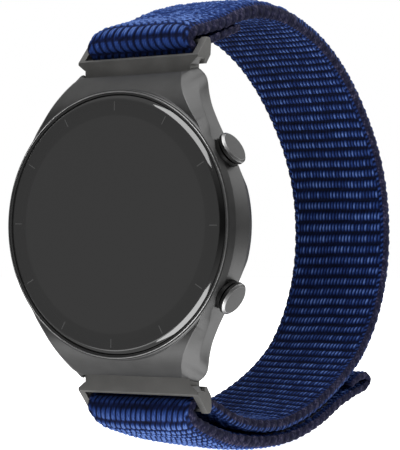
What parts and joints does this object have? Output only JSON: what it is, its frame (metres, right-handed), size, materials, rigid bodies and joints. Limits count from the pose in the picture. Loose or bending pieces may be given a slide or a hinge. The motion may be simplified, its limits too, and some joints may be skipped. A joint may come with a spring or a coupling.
{
  "type": "smartwatch with woven hook-and-loop band",
  "caption": "Round smartwatch head with two push buttons, held on the wrist by a woven nylon hook-and-loop band on metal adapters.",
  "frame": {"origin": "middle of the flat sensor window on the case back, which rests on the wrist", "axes": "+X to 3 o'clock, where the buttons are; +Z to 12 o'clock; +Y from the case back through the wrist, so -Y points out of the glass"},
  "size_m": [0.0466, 0.0826, 0.0792],
  "materials": {
    "gunmetal": "satin dark gunmetal",
    "bright_metal": "thin polished line round the glass",
    "glass_black": "black-backed glass, polished",
    "display": "display, switched off",
    "rubber_black": "matt black rubber",
    "plastic_black": "matt black plastic",
    "board": "green solder mask",
    "cell_foil": "silver cell can",
    "steel": "plain stainless steel",
    "gold": "gold-plated contact",
    "adapter_black": "fine-grained black coating on metal",
    "strap_blue": "woven blue nylon, looped outer face",
    "strap_edge": "dark grey-purple woven nylon edge",
    "hook_strip": "dark hook strip"
  },
  "bodies": {
    "watch": {"case": "gunmetal", "back_cover": "gunmetal", "bezel_ring": "bright_metal", "cover_glass": "glass_black", "sensor_window": "glass_black", "display_panel": "display", "glass_gasket": "rubber_black", "back_gasket": "rubber_black", "display_frame": "plastic_black", "speaker": "plastic_black", "upper_button_guide": "plastic_black", "lower_button_guide": "plastic_black", "upper_switch": "plastic_black", "lower_switch": "plastic_black", "main_board": "board", "sensor_board": "board", "battery": "cell_foil", "microphone": "cell_foil", "vibration_motor": "steel", "back_screw_1": "steel", "back_screw_2": "steel", "back_screw_3": "steel", "back_screw_4": "steel", "upper_button_spring": "steel", "lower_button_spring": "steel", "upper_bar_barrel": "steel", "upper_bar_spring": "steel", "lower_bar_barrel": "steel", "lower_bar_spring": "steel", "charge_contact_left": "gold", "charge_contact_right": "gold", "upper_strap_flex": "strap_blue", "strap_loop": "strap_blue", "lower_strap_flex": "strap_blue", "tail_flex": "strap_blue"},
    "upper_button": {"upper_button_cap": "gunmetal", "upper_button_oring": "rubber_black", "upper_button_clip": "steel"},
    "lower_button": {"lower_button_cap": "gunmetal", "lower_button_oring": "rubber_black", "lower_button_clip": "steel"},
    "upper_link": {"upper_adapter": "adapter_black", "upper_strap_fold": "strap_blue"},
    "lower_link": {"lower_adapter": "adapter_black", "lower_strap_fold": "strap_blue"},
    "tail": {"strap_tail": "strap_blue", "hook_patch": "hook_strip", "tail_tab": "strap_edge"},
    "upper_tip_left": {"upper_bar_tip_left": "steel"},
    "upper_tip_right": {"upper_bar_tip_right": "steel"},
    "lower_tip_left": {"lower_bar_tip_left": "steel"},
    "lower_tip_right": {"lower_bar_tip_right": "steel"}
  },
  "joints": [
    {"name": "upper_adapter_hinge", "type": "hinge", "parent": "watch", "child": "upper_link", "pos_m": [0, -0.0023, 0.0232], "axis": [1, 0, 0], "range_deg": [-8, 8], "stiffness_Nm_per_rad": 0.02, "deforming": ["upper_strap_flex"]},
    {"name": "lower_adapter_hinge", "type": "hinge", "parent": "watch", "child": "lower_link", "pos_m": [0, -0.0023, -0.0232], "axis": [-1, 0, 0], "range_deg": [-8, 8], "stiffness_Nm_per_rad": 0.02, "deforming": ["lower_strap_flex", "tail_flex"]},
    {"name": "upper_button_press", "type": "slide", "parent": "watch", "child": "upper_button", "axis": [-0.866, 0, -0.5], "range_m": [0, 0.00035], "stiffness_N_per_m": 2000, "springref_m": -0.0002, "deforming": ["upper_button_spring"]},
    {"name": "lower_button_press", "type": "slide", "parent": "watch", "child": "lower_button", "axis": [-0.866, 0, 0.5], "range_m": [0, 0.00035], "stiffness_N_per_m": 2000, "springref_m": -0.0002, "deforming": ["lower_button_spring"]},
    {"name": "tail_peel", "type": "hinge", "parent": "watch", "child": "tail", "pos_m": [0, 0.009, -0.0361], "axis": [-1, 0, 0], "range_deg": [0, 100], "deforming": ["tail_flex"]},
    {"name": "upper_tip_left_slide", "type": "slide", "parent": "watch", "child": "upper_tip_left", "axis": [1, 0, 0], "range_m": [0, 0.0012], "stiffness_N_per_m": 400, "springref_m": -0.0005, "deforming": ["upper_bar_spring"]},
    {"name": "upper_tip_right_slide", "type": "slide", "parent": "watch", "child": "upper_tip_right", "axis": [-1, 0, 0], "range_m": [0, 0.0012], "stiffness_N_per_m": 400, "springref_m": -0.0005, "deforming": ["upper_bar_spring"]},
    {"name": "lower_tip_left_slide", "type": "slide", "parent": "watch", "child": "lower_tip_left", "axis": [1, 0, 0], "range_m": [0, 0.0012], "stiffness_N_per_m": 400, "springref_m": -0.0005, "deforming": ["lower_bar_spring"]},
    {"name": "lower_tip_right_slide", "type": "slide", "parent": "watch", "child": "lower_tip_right", "axis": [-1, 0, 0], "range_m": [0, 0.0012], "stiffness_N_per_m": 400, "springref_m": -0.0005, "deforming": ["lower_bar_spring"]}
  ]
}
